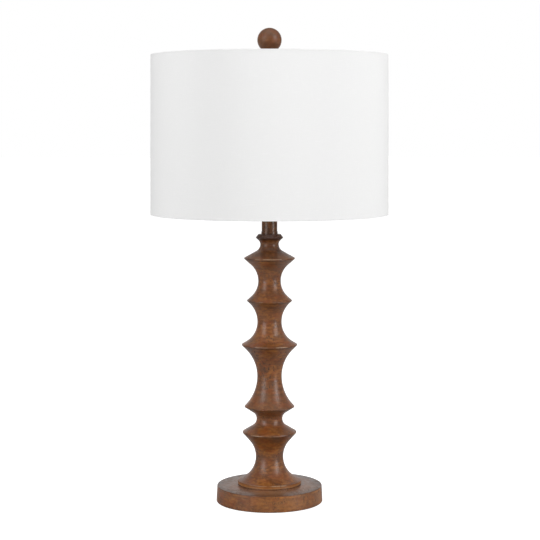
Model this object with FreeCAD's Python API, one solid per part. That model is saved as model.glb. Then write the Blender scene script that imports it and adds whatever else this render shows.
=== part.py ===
import FreeCAD, Part
import math
import os

# Column table lamp with a turned column, a drum shade on a harp and a ball finial.
# Millimetres, +Z up, origin in the middle of the underside. Heights add up from the table top.

# Base: a turned disc with a felt-covered recess for the weight and the clamping nut
base_thickness = 26.6         # at the rim
base_rise = 1.6               # the top slopes up this much towards the column
base_radius = 86.0
base_draft = 1.2              # how much smaller the disc is at its top edge
base_edge_round = 1.0
felt_thickness = 2.0
felt_proud = 0.5              # the felt stands this far below the wood
felt_rim = 3.2                # wood left showing round the felt
felt_gap = 0.2
recess_radius = 62.0
recess_depth = 11.0           # above the felt
weight_thickness = 10.0
weight_hole_radius = 18.0
weight_gap = 1.0              # between the weight and the wall of the recess
lead_slot_width = 10.0

# Inlet bush in the rear of the base
bush_bore_radius = 3.5
bush_wall = 1.0
bush_flange_radius = 5.6
bush_flange_thickness = 1.6
bush_height = 8.0             # its axis above the table
bush_gap = 0.05

# Hollow threaded rod and what it clamps
rod_radius = 5.0
rod_bore_radius = 3.6
rod_below_nut = 2.0
rod_clearance = 0.5           # in the drilled column
rod_fit = 0.1                 # in washers, caps and nuts
washer_radius = 12.0
washer_thickness = 1.5
nut_across_flats = 14.0
bottom_nut_thickness = 4.0
saddle_nut_thickness = 3.0

# Column: foot flange, then coves and sharp flanges, then a bevelled collar
foot_radius = 51.5
foot_band = 5.4               # height of the square edge
foot_round = 0.7              # of both its corners
foot_reveal = 1.4             # shadow gap under that edge
foot_reveal_depth = 1.8
tenon_radius = 15.0
tenon_depth = 6.0
tenon_gap = 0.05
collar_top_radius = 18.1
collar_bevel = 5.5

# One row for each cove, from the foot up: throat radius, height below the throat, flat below it,
# height above the throat, flat above it. A flat is the straight run between the round of the
# cove and the edge that it ends on.
cove_sizes = (
    (22.2, 38.0, 2.5, 40.5, 18.5),
    (20.9, 21.5, 20.5, 20.0, 17.0),
    (19.8, 49.5, 3.0, 51.5, 10.5),
    (19.5, 37.0, 8.5, 34.0, 3.0),
    (18.1, 32.0, 11.0, 36.5, 16.0),
    (14.8, 22.5, 23.5, 10.5, 6.5),
)

# One row for each edge above a cove: radius where its two faces would meet, rounding of the nose
edge_sizes = (
    (44.6, 2.0),
    (40.9, 0.8),
    (45.7, 1.5),
    (36.8, 0.6),
    (41.8, 1.2),
    (22.3, 0.6),
)

# Neck between the column and the socket
neck_ring_radius = 13.2
neck_ring_height = 4.5
neck_tube_radius = 12.55
neck_tube_length = 23.5
neck_tube_wall = 1.0
neck_cap_thickness = 1.5
neck_cap_spigot = 3.0

# Harp saddle: a strap with two arms that end in narrow tongues
saddle_thickness = 1.2
saddle_width = 9.0
saddle_reach = 31.0           # from the centre to the middle of an arm
saddle_bend = 4.0
saddle_shoulder = 16.0        # top of the wide part of an arm, above the strap
saddle_eye_radius = 8.1
tongue_length = 8.0
tongue_width = 3.0

# Socket
cap_hub_radius = 7.6
cap_hub_height = 5.0
cap_radius = 17.4
cap_dome_height = 8.0
cap_dome_fullness = 0.72      # how far out the dome's middle lies, as a share of its width
cap_skirt = 7.0
cap_wall = 0.8
set_screw_radius = 1.5
set_screw_proud = 1.4
set_screw_fit = 0.05
shell_length = 44.0
shell_wall = 0.6
shell_lip = 0.8               # the shell stands this far above its liner
insulator_wall = 0.8
nest_gap = 0.1                # between casings that fit in one another
body_radius = 12.0
body_rim_radius = 14.2
body_height = 20.0
body_rim = 2.0
body_foot = 2.0
screw_shell_wall = 0.5
contact_radius = 4.5
contact_thickness = 2.0
contact_bevel = 1.2
terminal_head_radius = 3.0
terminal_head = 1.5
terminal_shank_radius = 1.5
terminal_shank = 4.0
terminal_fit = 0.05

# Turn switch, pointing to the front
stem_radius = 2.0
stem_depth = 5.0              # into the switch body
stem_fit = 0.05
stem_hole_radius = 2.6
stem_height = 9.5             # above the foot of the switch body
knob_gap = 2.5                # between the casing and the knob
knob_length = 16.0
knob_radius = 6.5
knob_tip_radius = 5.6
knob_tip_bevel = 1.0
knob_plain_foot = 3.2         # length before the grooves start
knob_grooves = 6
knob_groove_radius = 2.0
knob_groove_offset = 1.2      # axis of a groove, outside the knob's foot
knob_socket = 9.0

# Harp: a bent wire with forked legs and a flattened top
harp_height = 239.0           # from the top of the saddle strap to the top of the flat
harp_wire_radius = 2.0
harp_half_width = 57.0
harp_leg = 24.5
harp_shoulder_radius = 60.0
harp_corner_radius = 47.0
harp_flat_length = 20.0
harp_flat_width = 9.0
harp_flat_thickness = 2.4
harp_flat_corner = 2.7
harp_wire_end = 5.0           # the round wire runs into the flat as far as this from the centre
fork_gap = 0.1                # on each side of the tongue
seat_gap = 0.3                # between pieces that lift apart
sleeve_wall = 1.1
sleeve_bevel = 0.5
sleeve_length = 11.0
sleeve_fit = 0.1

# Stud that swivels in the flattened top of the harp
stud_pin_radius = 2.4
stud_fit = 0.05
stud_head_radius = 4.4
stud_head = 1.2
stud_shoulder_radius = 5.5
stud_shoulder = 2.5
stud_thread_radius = 3.15
stud_thread = 14.0
stud_tip_bevel = 0.8

# Spider and shade
washer_fit = 0.3
spider_washer_radius = 14.0
spider_washer_thickness = 1.5
spider_drop = 10.65           # from the top rim down to the washer's upper face
spider_arms = 3
spider_wire_radius = 1.6
spider_start_radius = 7.5
spider_bend_start = 16.0
spider_bend_radius = 8.0
shade_height = 253.0
shade_bottom_radius = 190.0   # outside of the cloth
shade_taper = 2.0             # how much less the radius is at the top
cloth_thickness = 0.5
liner_thickness = 0.6
ring_wire_radius = 1.5
ring_gap = 0.05
hem_thickness = 0.4
hem_outside = 3.5
hem_inside = 6.0
hem_arm_gap = 0.2

# Finial
ball_radius = 19.3
finial_rise = 14.55           # from the washer to the underside of the ball
finial_foot_radius = 6.2
finial_foot = 3.0
finial_foot_slope = 1.0
finial_neck_radius = 4.6
finial_shank_radius = 4.0
finial_shank = 8.0
finial_thread_depth = 13.2
finial_seat = 0.1

# Bulb
bulb_radius = 30.0
bulb_length = 107.0
bulb_neck_radius = 13.6
bulb_neck_blend = 20.0
bulb_flank_angle = 40.0
glass_wall = 0.8
screw_cap_radius = 13.1
screw_cap_wall = 0.4
screw_cap_top = 25.5
screw_cap_bottom = 6.0
glass_collar = 5.0            # how far the glass reaches into the screw cap
tip_radius = 4.0
tip_thickness = 1.5
tip_bevel = 0.7
tip_margin = 1.0              # black insulator left showing round the tip
glass_stem_radius = 3.0
glass_stem_height = 18.0
glass_stem_foot_radius = 4.8
glass_stem_foot = 2.4
filament_half_length = 11.0
filament_rise = 30.0          # above the glass stem
filament_radius = 0.7
filament_lead_radius = 0.4

# Heights that follow from the sizes above
column_foot = base_thickness + base_rise
foot_edge = column_foot + foot_reveal + foot_band
collar_edge = foot_edge + sum(cove[1] + cove[3] for cove in cove_sizes)
column_top = collar_edge + collar_bevel
neck_ring_top = column_top + neck_ring_height
neck_tube_top = neck_ring_top + neck_tube_length
saddle_bottom = neck_tube_top + neck_cap_thickness
saddle_top = saddle_bottom + saddle_thickness
socket_foot = saddle_top + saddle_nut_thickness
shell_foot = socket_foot + cap_hub_height + cap_dome_height
shell_top = shell_foot + shell_length
insulator_foot = shell_foot + cap_wall
body_foot_level = insulator_foot
body_top = body_foot_level + body_height + body_rim
bulb_foot = body_top + contact_thickness + seat_gap
recess_ceiling = felt_thickness + recess_depth
bottom_nut_foot = recess_ceiling - washer_thickness - bottom_nut_thickness
shoulder_level = saddle_top + saddle_shoulder
tongue_top = shoulder_level + tongue_length
harp_foot = shoulder_level + seat_gap
harp_flat_top = saddle_top + harp_height
harp_flat_bottom = harp_flat_top - harp_flat_thickness
harp_wire_top = harp_flat_top - harp_flat_thickness / 2
stud_shoulder_foot = harp_flat_top + stud_fit
stud_thread_foot = stud_shoulder_foot + stud_shoulder
spider_washer_foot = stud_thread_foot + finial_seat
spider_washer_top = spider_washer_foot + spider_washer_thickness
shade_top = spider_washer_top + spider_drop
shade_bottom = shade_top - shade_height
finial_foot_level = spider_washer_top + finial_seat
ball_bottom = spider_washer_top + finial_rise
ball_centre = ball_bottom + ball_radius

# Radii of the casings that fit in one another
shell_radius = cap_radius - cap_wall - nest_gap
insulator_radius = shell_radius - shell_wall - nest_gap
insulator_bore = insulator_radius - insulator_wall
sleeve_bore = harp_wire_radius + sleeve_fit
stem_level = body_foot_level + stem_height
felt_radius = base_radius - felt_rim - felt_gap
recess_floor = felt_thickness

small = 0.01                  # tells apart edges that lie at one level from the others

up = FreeCAD.Vector(0, 0, 1)
front = FreeCAD.Vector(0, -1, 0)


def point(x, z):
    # A point in the plane of the profiles: distance from the axis, height
    return FreeCAD.Vector(x, 0, z)


def line(a, b):
    return Part.LineSegment(a, b).toShape()


def arc(a, middle, b):
    return Part.Arc(a, middle, b).toShape()


def polygon(*corners):
    # Straight edges through (radius, height) corners, closed
    points = [point(x, z) for x, z in corners]
    return [line(a, b) for a, b in zip(points, points[1:] + points[:1])]


def turned(outline):
    # A closed outline turned round the lamp's axis
    face = Part.Face(Part.Wire(outline))
    return face.revolve(FreeCAD.Vector(0, 0, 0), up, 360)


def disc(radius, low, high, hole=0.0):
    plate = Part.makeCylinder(radius, high - low, point(0, low))
    if hole:
        plate = plate.cut(Part.makeCylinder(hole, high - low, point(0, low)))
    return plate


def hexagon(across_flats, low, high, hole):
    corner = across_flats / (2 * math.cos(math.pi / 6))
    angles = [math.radians(60 * i) for i in range(7)]
    ring = [FreeCAD.Vector(corner * math.cos(a), corner * math.sin(a), low) for a in angles]
    nut = Part.Face(Part.makePolygon(ring)).extrude(up * (high - low))
    return nut.cut(Part.makeCylinder(hole, high - low, point(0, low)))


def block(x_size, y_size, low, high, x_centre=0.0, y_centre=0.0):
    corner = FreeCAD.Vector(x_centre - x_size / 2, y_centre - y_size / 2, low)
    return Part.makeBox(x_size, y_size, high - low, corner)


def rod_between(a, b, radius):
    return Part.makeCylinder(radius, (b - a).Length, a, b - a)


def wire_along(path, radius):
    # Round wire along edges that follow on smoothly
    spine = Part.Wire(path)
    start = path[0].Vertexes[0].Point
    ahead = path[0].tangentAt(path[0].FirstParameter)
    section = Part.Wire(Part.makeCircle(radius, start, ahead))
    return spine.makePipeShell([section], True, False)


def mirrored(shape):
    return shape.mirror(FreeCAD.Vector(0, 0, 0), FreeCAD.Vector(1, 0, 0))


# --- Column profile ---------------------------------------------------------------------------

def cove_radius(step, rise, flat):
    # Radius of the round that leaves the throat upright and meets a straight flat of that length
    return (step * step + rise * rise - flat * flat) / (2 * step)


def cove_tangent(throat, edge, flat):
    # Where the round of a cove ends and its straight flat begins, and the middle of the round.
    # throat and edge are points; the round's centre is level with the throat.
    step = edge.x - throat.x
    rise = abs(edge.z - throat.z)
    side = 1 if edge.z > throat.z else -1
    radius = cove_radius(step, rise, flat)
    to_edge = math.atan2(rise, step - radius)
    turn = math.pi - to_edge - math.atan2(flat, radius)
    centre_x = throat.x + radius

    def on_round(angle):
        return point(centre_x - radius * math.cos(angle), throat.z + side * radius * math.sin(angle))

    return on_round(turn), on_round(turn / 2)


def nose(edge, above, below, rounding):
    # Start, middle and end of the small round between the two flats that meet at an edge
    to_above = (above - edge).normalize()
    to_below = (below - edge).normalize()
    half = to_above.getAngle(to_below) / 2
    back = rounding / math.tan(half)
    inward = (to_above + to_below).normalize()
    centre = edge + inward * (rounding / math.sin(half))
    return edge + to_below * back, centre - inward * rounding, edge + to_above * back


def foot_corner():
    # Start, middle and end of the small round on top of the foot's square edge
    corner = point(foot_radius, foot_edge)
    throat = point(cove_sizes[0][0], foot_edge + cove_sizes[0][1])
    above = cove_tangent(throat, corner, cove_sizes[0][2])[0]
    return nose(corner, above, point(foot_radius, foot_edge - foot_band), foot_round)


def column_outline():
    # Edges from the foot's upper corner to the collar's top corner, going up
    heights = [foot_edge]
    for cove in cove_sizes:
        heights.append(heights[-1] + cove[1] + cove[3])
    radii = [foot_radius] + [size[0] for size in edge_sizes]
    corners = [point(r, z) for r, z in zip(radii, heights)]
    collar_corner = point(collar_top_radius, column_top)
    outline = []
    start = foot_corner()[2]
    following = list(cove_sizes[1:]) + [None]
    for foot, edge, size, cove, next_cove in zip(
        corners, corners[1:], edge_sizes, cove_sizes, following
    ):
        throat_radius, rise_below, flat_below, _, flat_above = cove
        throat = point(throat_radius, foot.z + rise_below)
        low_end, low_middle = cove_tangent(throat, foot, flat_below)
        high_end, high_middle = cove_tangent(throat, edge, flat_above)
        if next_cove:
            next_throat = point(next_cove[0], edge.z + next_cove[1])
            above = cove_tangent(next_throat, edge, next_cove[2])[0]
        else:
            above = collar_corner
        nose_start, nose_middle, nose_end = nose(edge, above, high_end, size[1])
        outline.append(line(start, low_end))
        outline.append(arc(low_end, low_middle, throat))
        outline.append(arc(throat, high_middle, high_end))
        outline.append(line(high_end, nose_start))
        outline.append(arc(nose_start, nose_middle, nose_end))
        start = nose_end
    outline.append(line(start, collar_corner))
    return outline


def column():
    bore = rod_radius + rod_clearance
    band_foot = foot_edge - foot_band
    reveal_radius = foot_radius - foot_reveal_depth
    tenon_foot = column_foot - tenon_depth
    rest = [
        (collar_top_radius, column_top),
        (bore, column_top),
        (bore, tenon_foot),
        (tenon_radius, tenon_foot),
        (tenon_radius, column_foot),
        (reveal_radius, column_foot),
        (reveal_radius, band_foot),
    ]
    points = [point(x, z) for x, z in rest]
    top_round = foot_corner()
    low_corner = point(foot_radius, band_foot)
    low_round = nose(low_corner, point(foot_radius, foot_edge), points[-1], foot_round)
    points.append(low_round[0])
    outline = column_outline() + [line(a, b) for a, b in zip(points, points[1:])]
    outline += [arc(*low_round), line(low_round[2], top_round[0]), arc(*top_round)]
    return turned(outline)


# --- Base -------------------------------------------------------------------------------------

def base_disc():
    bore = rod_radius + rod_clearance
    rebate = felt_radius + felt_gap
    socket_radius = tenon_radius + tenon_gap
    socket_floor = column_foot - tenon_depth - seat_gap
    rest = [
        (foot_radius, column_foot),
        (socket_radius, column_foot),
        (socket_radius, socket_floor),
        (bore, socket_floor),
        (bore, recess_ceiling),
        (recess_radius, recess_ceiling),
        (recess_radius, recess_floor),
        (rebate, recess_floor),
        (rebate, felt_proud),
    ]
    points = [point(x, z) for x, z in rest]
    low_corner = point(base_radius, felt_proud)
    top_corner = point(base_radius - base_draft, base_thickness)
    low_round = nose(low_corner, top_corner, points[-1], base_edge_round)
    top_round = nose(top_corner, points[0], low_corner, base_edge_round)
    points = [top_round[2]] + points + [low_round[0]]
    outline = [line(a, b) for a, b in zip(points, points[1:])]
    outline += [arc(*low_round), line(low_round[2], top_round[0]), arc(*top_round)]
    return turned(outline).cut(bush_hole())


def bush_seat():
    # Distance from the axis to the flat that the bush's flange sits on
    return math.sqrt((base_radius - base_draft) ** 2 - bush_flange_radius ** 2)


def bush_hole():
    # Round hole through the rear wall, with a shallow round seat for the flange
    rear = FreeCAD.Vector(0, 1, 0)
    tube_radius = bush_bore_radius + bush_wall + bush_gap
    start = FreeCAD.Vector(0, recess_radius / 2, bush_height)
    hole = Part.makeCylinder(tube_radius, base_radius, start, rear)
    seat = Part.makeCylinder(
        bush_flange_radius + bush_gap,
        base_radius,
        FreeCAD.Vector(0, bush_seat(), bush_height),
        rear,
    )
    return hole.fuse(seat)


def cord_bush():
    rear = FreeCAD.Vector(0, 1, 0)
    start = FreeCAD.Vector(0, recess_radius, bush_height)
    tube_length = bush_seat() + bush_flange_thickness - recess_radius
    tube = Part.makeCylinder(bush_bore_radius + bush_wall, tube_length, start, rear)
    flange = Part.makeCylinder(
        bush_flange_radius, bush_flange_thickness, FreeCAD.Vector(0, bush_seat(), bush_height), rear
    )
    bore = Part.makeCylinder(bush_bore_radius, tube_length, start, rear)
    return tube.fuse(flange).cut(bore).removeSplitter()


def base_weight():
    low = recess_ceiling - weight_thickness
    ring = disc(recess_radius - weight_gap, low, recess_ceiling, weight_hole_radius)
    slot = block(lead_slot_width, recess_radius, low, recess_ceiling, 0, recess_radius / 2)
    return ring.cut(slot)


def felt_pad():
    return disc(felt_radius, 0, felt_thickness)


# --- Rod, washers, nuts and neck --------------------------------------------------------------

def threaded_rod():
    low = bottom_nut_foot - rod_below_nut
    return disc(rod_radius, low, socket_foot + cap_hub_height, rod_bore_radius)


def bottom_washer():
    low = recess_ceiling - washer_thickness
    return disc(washer_radius, low, recess_ceiling, rod_radius + rod_fit)


def bottom_nut():
    high = bottom_nut_foot + bottom_nut_thickness
    return hexagon(nut_across_flats, bottom_nut_foot, high, rod_radius + rod_fit)


def neck_ring():
    # Low ring with a bevelled upper edge
    ring = disc(neck_ring_radius, column_top, neck_ring_top, rod_radius + rod_fit)
    rim = [e for e in ring.Edges if len(e.Vertexes) == 1 and e.BoundBox.ZMin > neck_ring_top - small]
    outer = max(rim, key=lambda e: e.Length)
    return ring.makeChamfer(neck_ring_radius - neck_tube_radius - nest_gap, [outer])


def neck_tube():
    return disc(neck_tube_radius, neck_ring_top, neck_tube_top, neck_tube_radius - neck_tube_wall)


def neck_cap():
    spigot_radius = neck_tube_radius - neck_tube_wall - nest_gap
    plate = disc(neck_tube_radius, neck_tube_top, saddle_bottom, rod_radius + rod_fit)
    spigot = disc(spigot_radius, neck_tube_top - neck_cap_spigot, neck_tube_top, rod_radius + rod_fit)
    return plate.fuse(spigot).removeSplitter()


def saddle_nut():
    return hexagon(nut_across_flats, saddle_top, socket_foot, rod_radius + rod_fit)


def harp_saddle():
    # Flat strap with rounded bends up into two arms, each narrowing to a tongue
    inner = saddle_reach - saddle_thickness / 2
    outer = saddle_reach + saddle_thickness / 2
    bend_in = saddle_bend - saddle_thickness
    cut = math.sqrt(0.5)
    out_centre = point(outer - saddle_bend, saddle_bottom + saddle_bend)
    strap = Part.Wire([
        line(point(0, saddle_bottom), point(out_centre.x, saddle_bottom)),
        arc(
            point(out_centre.x, saddle_bottom),
            point(out_centre.x + saddle_bend * cut, out_centre.z - saddle_bend * cut),
            point(outer, out_centre.z),
        ),
        line(point(outer, out_centre.z), point(outer, shoulder_level)),
        line(point(outer, shoulder_level), point(inner, shoulder_level)),
        line(point(inner, shoulder_level), point(inner, out_centre.z)),
        arc(
            point(inner, out_centre.z),
            point(out_centre.x + bend_in * cut, out_centre.z - bend_in * cut),
            point(out_centre.x, saddle_top),
        ),
        line(point(out_centre.x, saddle_top), point(0, saddle_top)),
        line(point(0, saddle_top), point(0, saddle_bottom)),
    ])
    half = Part.Face(strap).extrude(FreeCAD.Vector(0, saddle_width, 0))
    half.translate(FreeCAD.Vector(0, -saddle_width / 2, 0))
    tongue = block(saddle_thickness, tongue_width, shoulder_level, tongue_top, saddle_reach)
    half = half.fuse(tongue)
    eye = disc(saddle_eye_radius, saddle_bottom, saddle_top)
    hole = Part.makeCylinder(rod_radius + rod_fit, saddle_thickness, point(0, saddle_bottom))
    return half.fuse([mirrored(half), eye]).cut(hole).removeSplitter()


# --- Socket -----------------------------------------------------------------------------------

def dome(low, high):
    # Rounded shoulder between two corners of the cup, fuller towards the outside
    out = low.x + (high.x - low.x) * cap_dome_fullness
    rise = low.z + (high.z - low.z) * (1 - cap_dome_fullness)
    return arc(low, point(out, rise), high)


def socket_cap():
    # Spun cup: a straight hub, a domed shoulder and a skirt
    hub_top = socket_foot + cap_hub_height
    skirt_top = shell_foot + cap_skirt
    bore = rod_radius + rod_fit
    inner_radius = cap_radius - cap_wall
    hub_corner = point(cap_hub_radius, hub_top)
    skirt_foot = point(cap_radius, shell_foot)
    inner_foot = point(inner_radius, shell_foot)
    inner_corner = point(cap_hub_radius, hub_top + cap_wall)
    outline = [
        line(point(bore, socket_foot), point(cap_hub_radius, socket_foot)),
        line(point(cap_hub_radius, socket_foot), hub_corner),
        dome(hub_corner, skirt_foot),
        line(skirt_foot, point(cap_radius, skirt_top)),
        line(point(cap_radius, skirt_top), point(inner_radius, skirt_top)),
        line(point(inner_radius, skirt_top), inner_foot),
        dome(inner_corner, inner_foot),
        line(inner_corner, point(bore, hub_top + cap_wall)),
        line(point(bore, hub_top + cap_wall), point(bore, socket_foot)),
    ]
    return turned(outline).cut(set_screw_hole())


def set_screw_level():
    return socket_foot + cap_hub_height / 2


def set_screw_hole():
    start = FreeCAD.Vector(rod_radius, 0, set_screw_level())
    return Part.makeCylinder(
        set_screw_radius + set_screw_fit, cap_hub_radius, start, FreeCAD.Vector(1, 0, 0)
    )


def set_screw():
    start = FreeCAD.Vector(rod_radius + set_screw_fit, 0, set_screw_level())
    length = cap_hub_radius - rod_radius + set_screw_proud
    return Part.makeCylinder(set_screw_radius, length, start, FreeCAD.Vector(1, 0, 0))


def stem_hole():
    start = FreeCAD.Vector(0, 0, stem_level)
    return Part.makeCylinder(stem_hole_radius, cap_radius * 2, start, front)


def socket_shell():
    tube = disc(shell_radius, shell_foot, shell_top, shell_radius - shell_wall)
    return tube.cut(stem_hole())


def socket_insulator():
    tube = disc(insulator_radius, insulator_foot, shell_top - shell_lip, insulator_bore)
    return tube.cut(stem_hole())


def socket_body():
    # Moulded switch body: a foot that fits the insulator, a waist with two terminals, a rim
    foot_rim = insulator_bore - nest_gap
    foot_top = body_foot_level + body_foot
    rim_foot = body_foot_level + body_height
    outline = polygon(
        (0, body_foot_level),
        (foot_rim, body_foot_level),
        (foot_rim, foot_top),
        (body_radius, foot_top),
        (body_radius, rim_foot),
        (body_rim_radius, rim_foot),
        (body_rim_radius, body_top),
        (0, body_top),
    )
    moulding = turned(outline)
    start = FreeCAD.Vector(0, -(body_radius - stem_depth), stem_level)
    pocket = Part.makeCylinder(stem_radius + stem_fit, body_radius, start, front)
    shanks = [terminal_shank_cylinder(side, terminal_fit) for side in (-1, 1)]
    return moulding.cut([pocket] + shanks)


def terminal_shank_cylinder(side, extra):
    start = FreeCAD.Vector(side * (body_radius - terminal_shank), 0, stem_level)
    return Part.makeCylinder(
        terminal_shank_radius + extra, terminal_shank, start, FreeCAD.Vector(side, 0, 0)
    )


def terminal_screws():
    screws = []
    for side in (-1, 1):
        head_start = FreeCAD.Vector(side * body_radius, 0, stem_level)
        head = Part.makeCylinder(
            terminal_head_radius, terminal_head, head_start, FreeCAD.Vector(side, 0, 0)
        )
        screws.append(head.fuse(terminal_shank_cylinder(side, 0)).removeSplitter())
    return Part.makeCompound(screws)


def screw_shell():
    return disc(body_rim_radius, body_top, shell_top - shell_lip, body_rim_radius - screw_shell_wall)


def centre_contact():
    # Spring contact in the floor of the socket
    contact = disc(contact_radius, body_top, body_top + contact_thickness)
    rim = [e for e in contact.Edges if e.BoundBox.ZMin > body_top + small and len(e.Vertexes) == 1]
    return contact.makeChamfer(contact_bevel, rim)


def switch_stem():
    start = FreeCAD.Vector(0, -(body_radius - stem_depth + stem_fit), stem_level)
    end = FreeCAD.Vector(0, -(shell_radius + knob_gap + knob_socket), stem_level)
    return rod_between(start, end, stem_radius)


def switch_knob():
    # Tapered knob with finger grooves along it
    start = FreeCAD.Vector(0, -(shell_radius + knob_gap), stem_level)
    knob = Part.makeCone(knob_radius, knob_tip_radius, knob_length, start, front)
    tip = max(
        (e for e in knob.Edges if len(e.Vertexes) == 1), key=lambda e: -e.BoundBox.YMin
    )
    knob = knob.makeChamfer(knob_tip_bevel, [tip])
    grooves = []
    for i in range(knob_grooves):
        angle = math.radians(360 * (i + 0.5) / knob_grooves)
        reach = knob_radius + knob_groove_offset
        at = FreeCAD.Vector(
            reach * math.cos(angle), start.y - knob_plain_foot, stem_level + reach * math.sin(angle)
        )
        grooves.append(Part.makeCylinder(knob_groove_radius, knob_length, at, front))
    pocket = Part.makeCylinder(stem_radius, knob_socket, start, front)
    return knob.cut(grooves + [pocket])


# --- Harp -------------------------------------------------------------------------------------

def harp_path():
    # Centre line of the right half: leg, two opposite shoulder arcs, side, corner, run to the flat
    spread = harp_half_width - saddle_reach
    radius = harp_shoulder_radius
    turn = math.acos(1 - spread / (2 * radius))
    leg_top = harp_foot + harp_leg
    rise = radius * math.sin(turn)
    middle = point(saddle_reach + spread / 2, leg_top + rise)
    side_foot = point(harp_half_width, leg_top + 2 * rise)
    low = point(saddle_reach + radius * (1 - math.cos(turn / 2)), leg_top + radius * math.sin(turn / 2))
    high = point(
        harp_half_width - radius * (1 - math.cos(turn / 2)), side_foot.z - radius * math.sin(turn / 2)
    )
    corner = harp_corner_radius
    side_top = point(harp_half_width, harp_wire_top - corner)
    cut = corner * (1 - math.sqrt(0.5))
    corner_middle = point(harp_half_width - cut, harp_wire_top - cut)
    run_start = point(harp_half_width - corner, harp_wire_top)
    return [
        line(point(saddle_reach, harp_foot), point(saddle_reach, leg_top)),
        arc(point(saddle_reach, leg_top), low, middle),
        arc(middle, high, side_foot),
        line(side_foot, side_top),
        arc(side_top, corner_middle, run_start),
        line(run_start, point(harp_wire_end, harp_wire_top)),
    ]


def harp_wire():
    right = wire_along(harp_path(), harp_wire_radius)
    past_wire = 4 * harp_wire_radius
    slot = block(
        saddle_thickness + 2 * fork_gap,
        past_wire,
        harp_foot,
        tongue_top + seat_gap,
        saddle_reach,
    )
    right = right.cut(slot)
    # The top is pressed flat: nothing of the round wire stands above or below the pad there
    press = block(harp_flat_length, past_wire, harp_flat_top, harp_flat_top + harp_wire_radius)
    under = block(harp_flat_length, past_wire, harp_flat_bottom - harp_wire_radius, harp_flat_bottom)
    right = right.cut([press, under])
    pad = block(harp_flat_length, harp_flat_width, harp_flat_bottom, harp_flat_top)
    hole = Part.makeCylinder(stud_pin_radius + stud_fit, harp_flat_thickness, point(0, harp_flat_bottom))
    corners = [e for e in pad.Edges if e.BoundBox.ZLength > harp_flat_thickness / 2]
    pad = pad.makeFillet(harp_flat_corner, corners)
    return pad.fuse([right, mirrored(right)]).cut(hole).removeSplitter()


def harp_sleeve(side):
    # Sliding sleeve with bevelled rims, seated on the shoulder of the saddle's arm
    radius = sleeve_bore + sleeve_wall
    low = shoulder_level + seat_gap
    start = FreeCAD.Vector(side * saddle_reach, 0, low)
    sleeve = Part.makeCylinder(radius, sleeve_length, start)
    rims = [e for e in sleeve.Edges if len(e.Vertexes) == 1]
    sleeve = sleeve.makeChamfer(sleeve_bevel, rims)
    return sleeve.cut(Part.makeCylinder(sleeve_bore, sleeve_length, start))


def harp_stud():
    # Pin through the flat, riveted head below, shoulder above and a thread for the finial
    head_top = harp_flat_bottom - stud_fit
    thread_top = stud_thread_foot + stud_thread
    return turned(polygon(
        (0, head_top - stud_head),
        (stud_head_radius, head_top - stud_head),
        (stud_head_radius, head_top),
        (stud_pin_radius, head_top),
        (stud_pin_radius, stud_shoulder_foot),
        (stud_shoulder_radius, stud_shoulder_foot),
        (stud_shoulder_radius, stud_thread_foot),
        (stud_thread_radius, stud_thread_foot),
        (stud_thread_radius, thread_top - stud_tip_bevel),
        (stud_thread_radius - stud_tip_bevel, thread_top),
        (0, thread_top),
    ))


# --- Shade ------------------------------------------------------------------------------------

def shade_radius(z):
    # Outside of the cloth at that height
    share = (z - shade_bottom) / shade_height
    return shade_bottom_radius - shade_taper * share


def drum(outside, thickness, low, high):
    # Slightly tapered tube, a given depth inside the cloth's outer face
    return turned(polygon(
        (shade_radius(low) - outside - thickness, low),
        (shade_radius(low) - outside, low),
        (shade_radius(high) - outside, high),
        (shade_radius(high) - outside - thickness, high),
    ))


def shade_fabric():
    return drum(0, cloth_thickness, shade_bottom + hem_thickness, shade_top - hem_thickness)


def shade_liner():
    low = shade_bottom + hem_thickness
    return drum(cloth_thickness, liner_thickness, low, shade_top - hem_thickness)


def ring_level(top):
    inset = hem_thickness + ring_wire_radius
    return shade_top - inset if top else shade_bottom + inset


def ring_centre_radius(top):
    wall = cloth_thickness + liner_thickness
    return shade_radius(ring_level(top)) - wall - ring_gap - ring_wire_radius


def shade_ring(top):
    return Part.makeTorus(ring_centre_radius(top), ring_wire_radius, point(0, ring_level(top)))


def shade_hem(top):
    # Cloth folded over the rim: a short leg outside, a longer one inside the wire ring
    edge = shade_top if top else shade_bottom
    inward = -1 if top else 1
    z_leg = edge + inward * hem_thickness
    z_out = edge + inward * hem_outside
    z_in = edge + inward * hem_inside
    outer_edge = shade_radius(edge) + hem_thickness
    inner = ring_centre_radius(top) - ring_wire_radius - ring_gap
    outline = polygon(
        (inner - hem_thickness, z_in),
        (inner - hem_thickness, edge),
        (outer_edge, edge),
        (shade_radius(z_out) + hem_thickness, z_out),
        (shade_radius(z_out), z_out),
        (shade_radius(z_leg), z_leg),
        (inner, z_leg),
        (inner, z_in),
    )
    hem = turned(outline)
    if not top:
        return hem
    reach = ring_centre_radius(True)
    holes = []
    for i in range(spider_arms):
        angle = arm_angle(i)
        out = FreeCAD.Vector(math.cos(angle), math.sin(angle), 0)
        start = point(0, ring_level(True)) + out * (reach / 2)
        holes.append(Part.makeCylinder(spider_wire_radius + hem_arm_gap, reach / 2, start, out))
    return hem.cut(holes)


def arm_angle(i):
    # The first arm points to the rear
    return math.radians(90 + 360 * i / spider_arms)


def spider_washer():
    return disc(
        spider_washer_radius, spider_washer_foot, spider_washer_top, stud_thread_radius + washer_fit
    )


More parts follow.
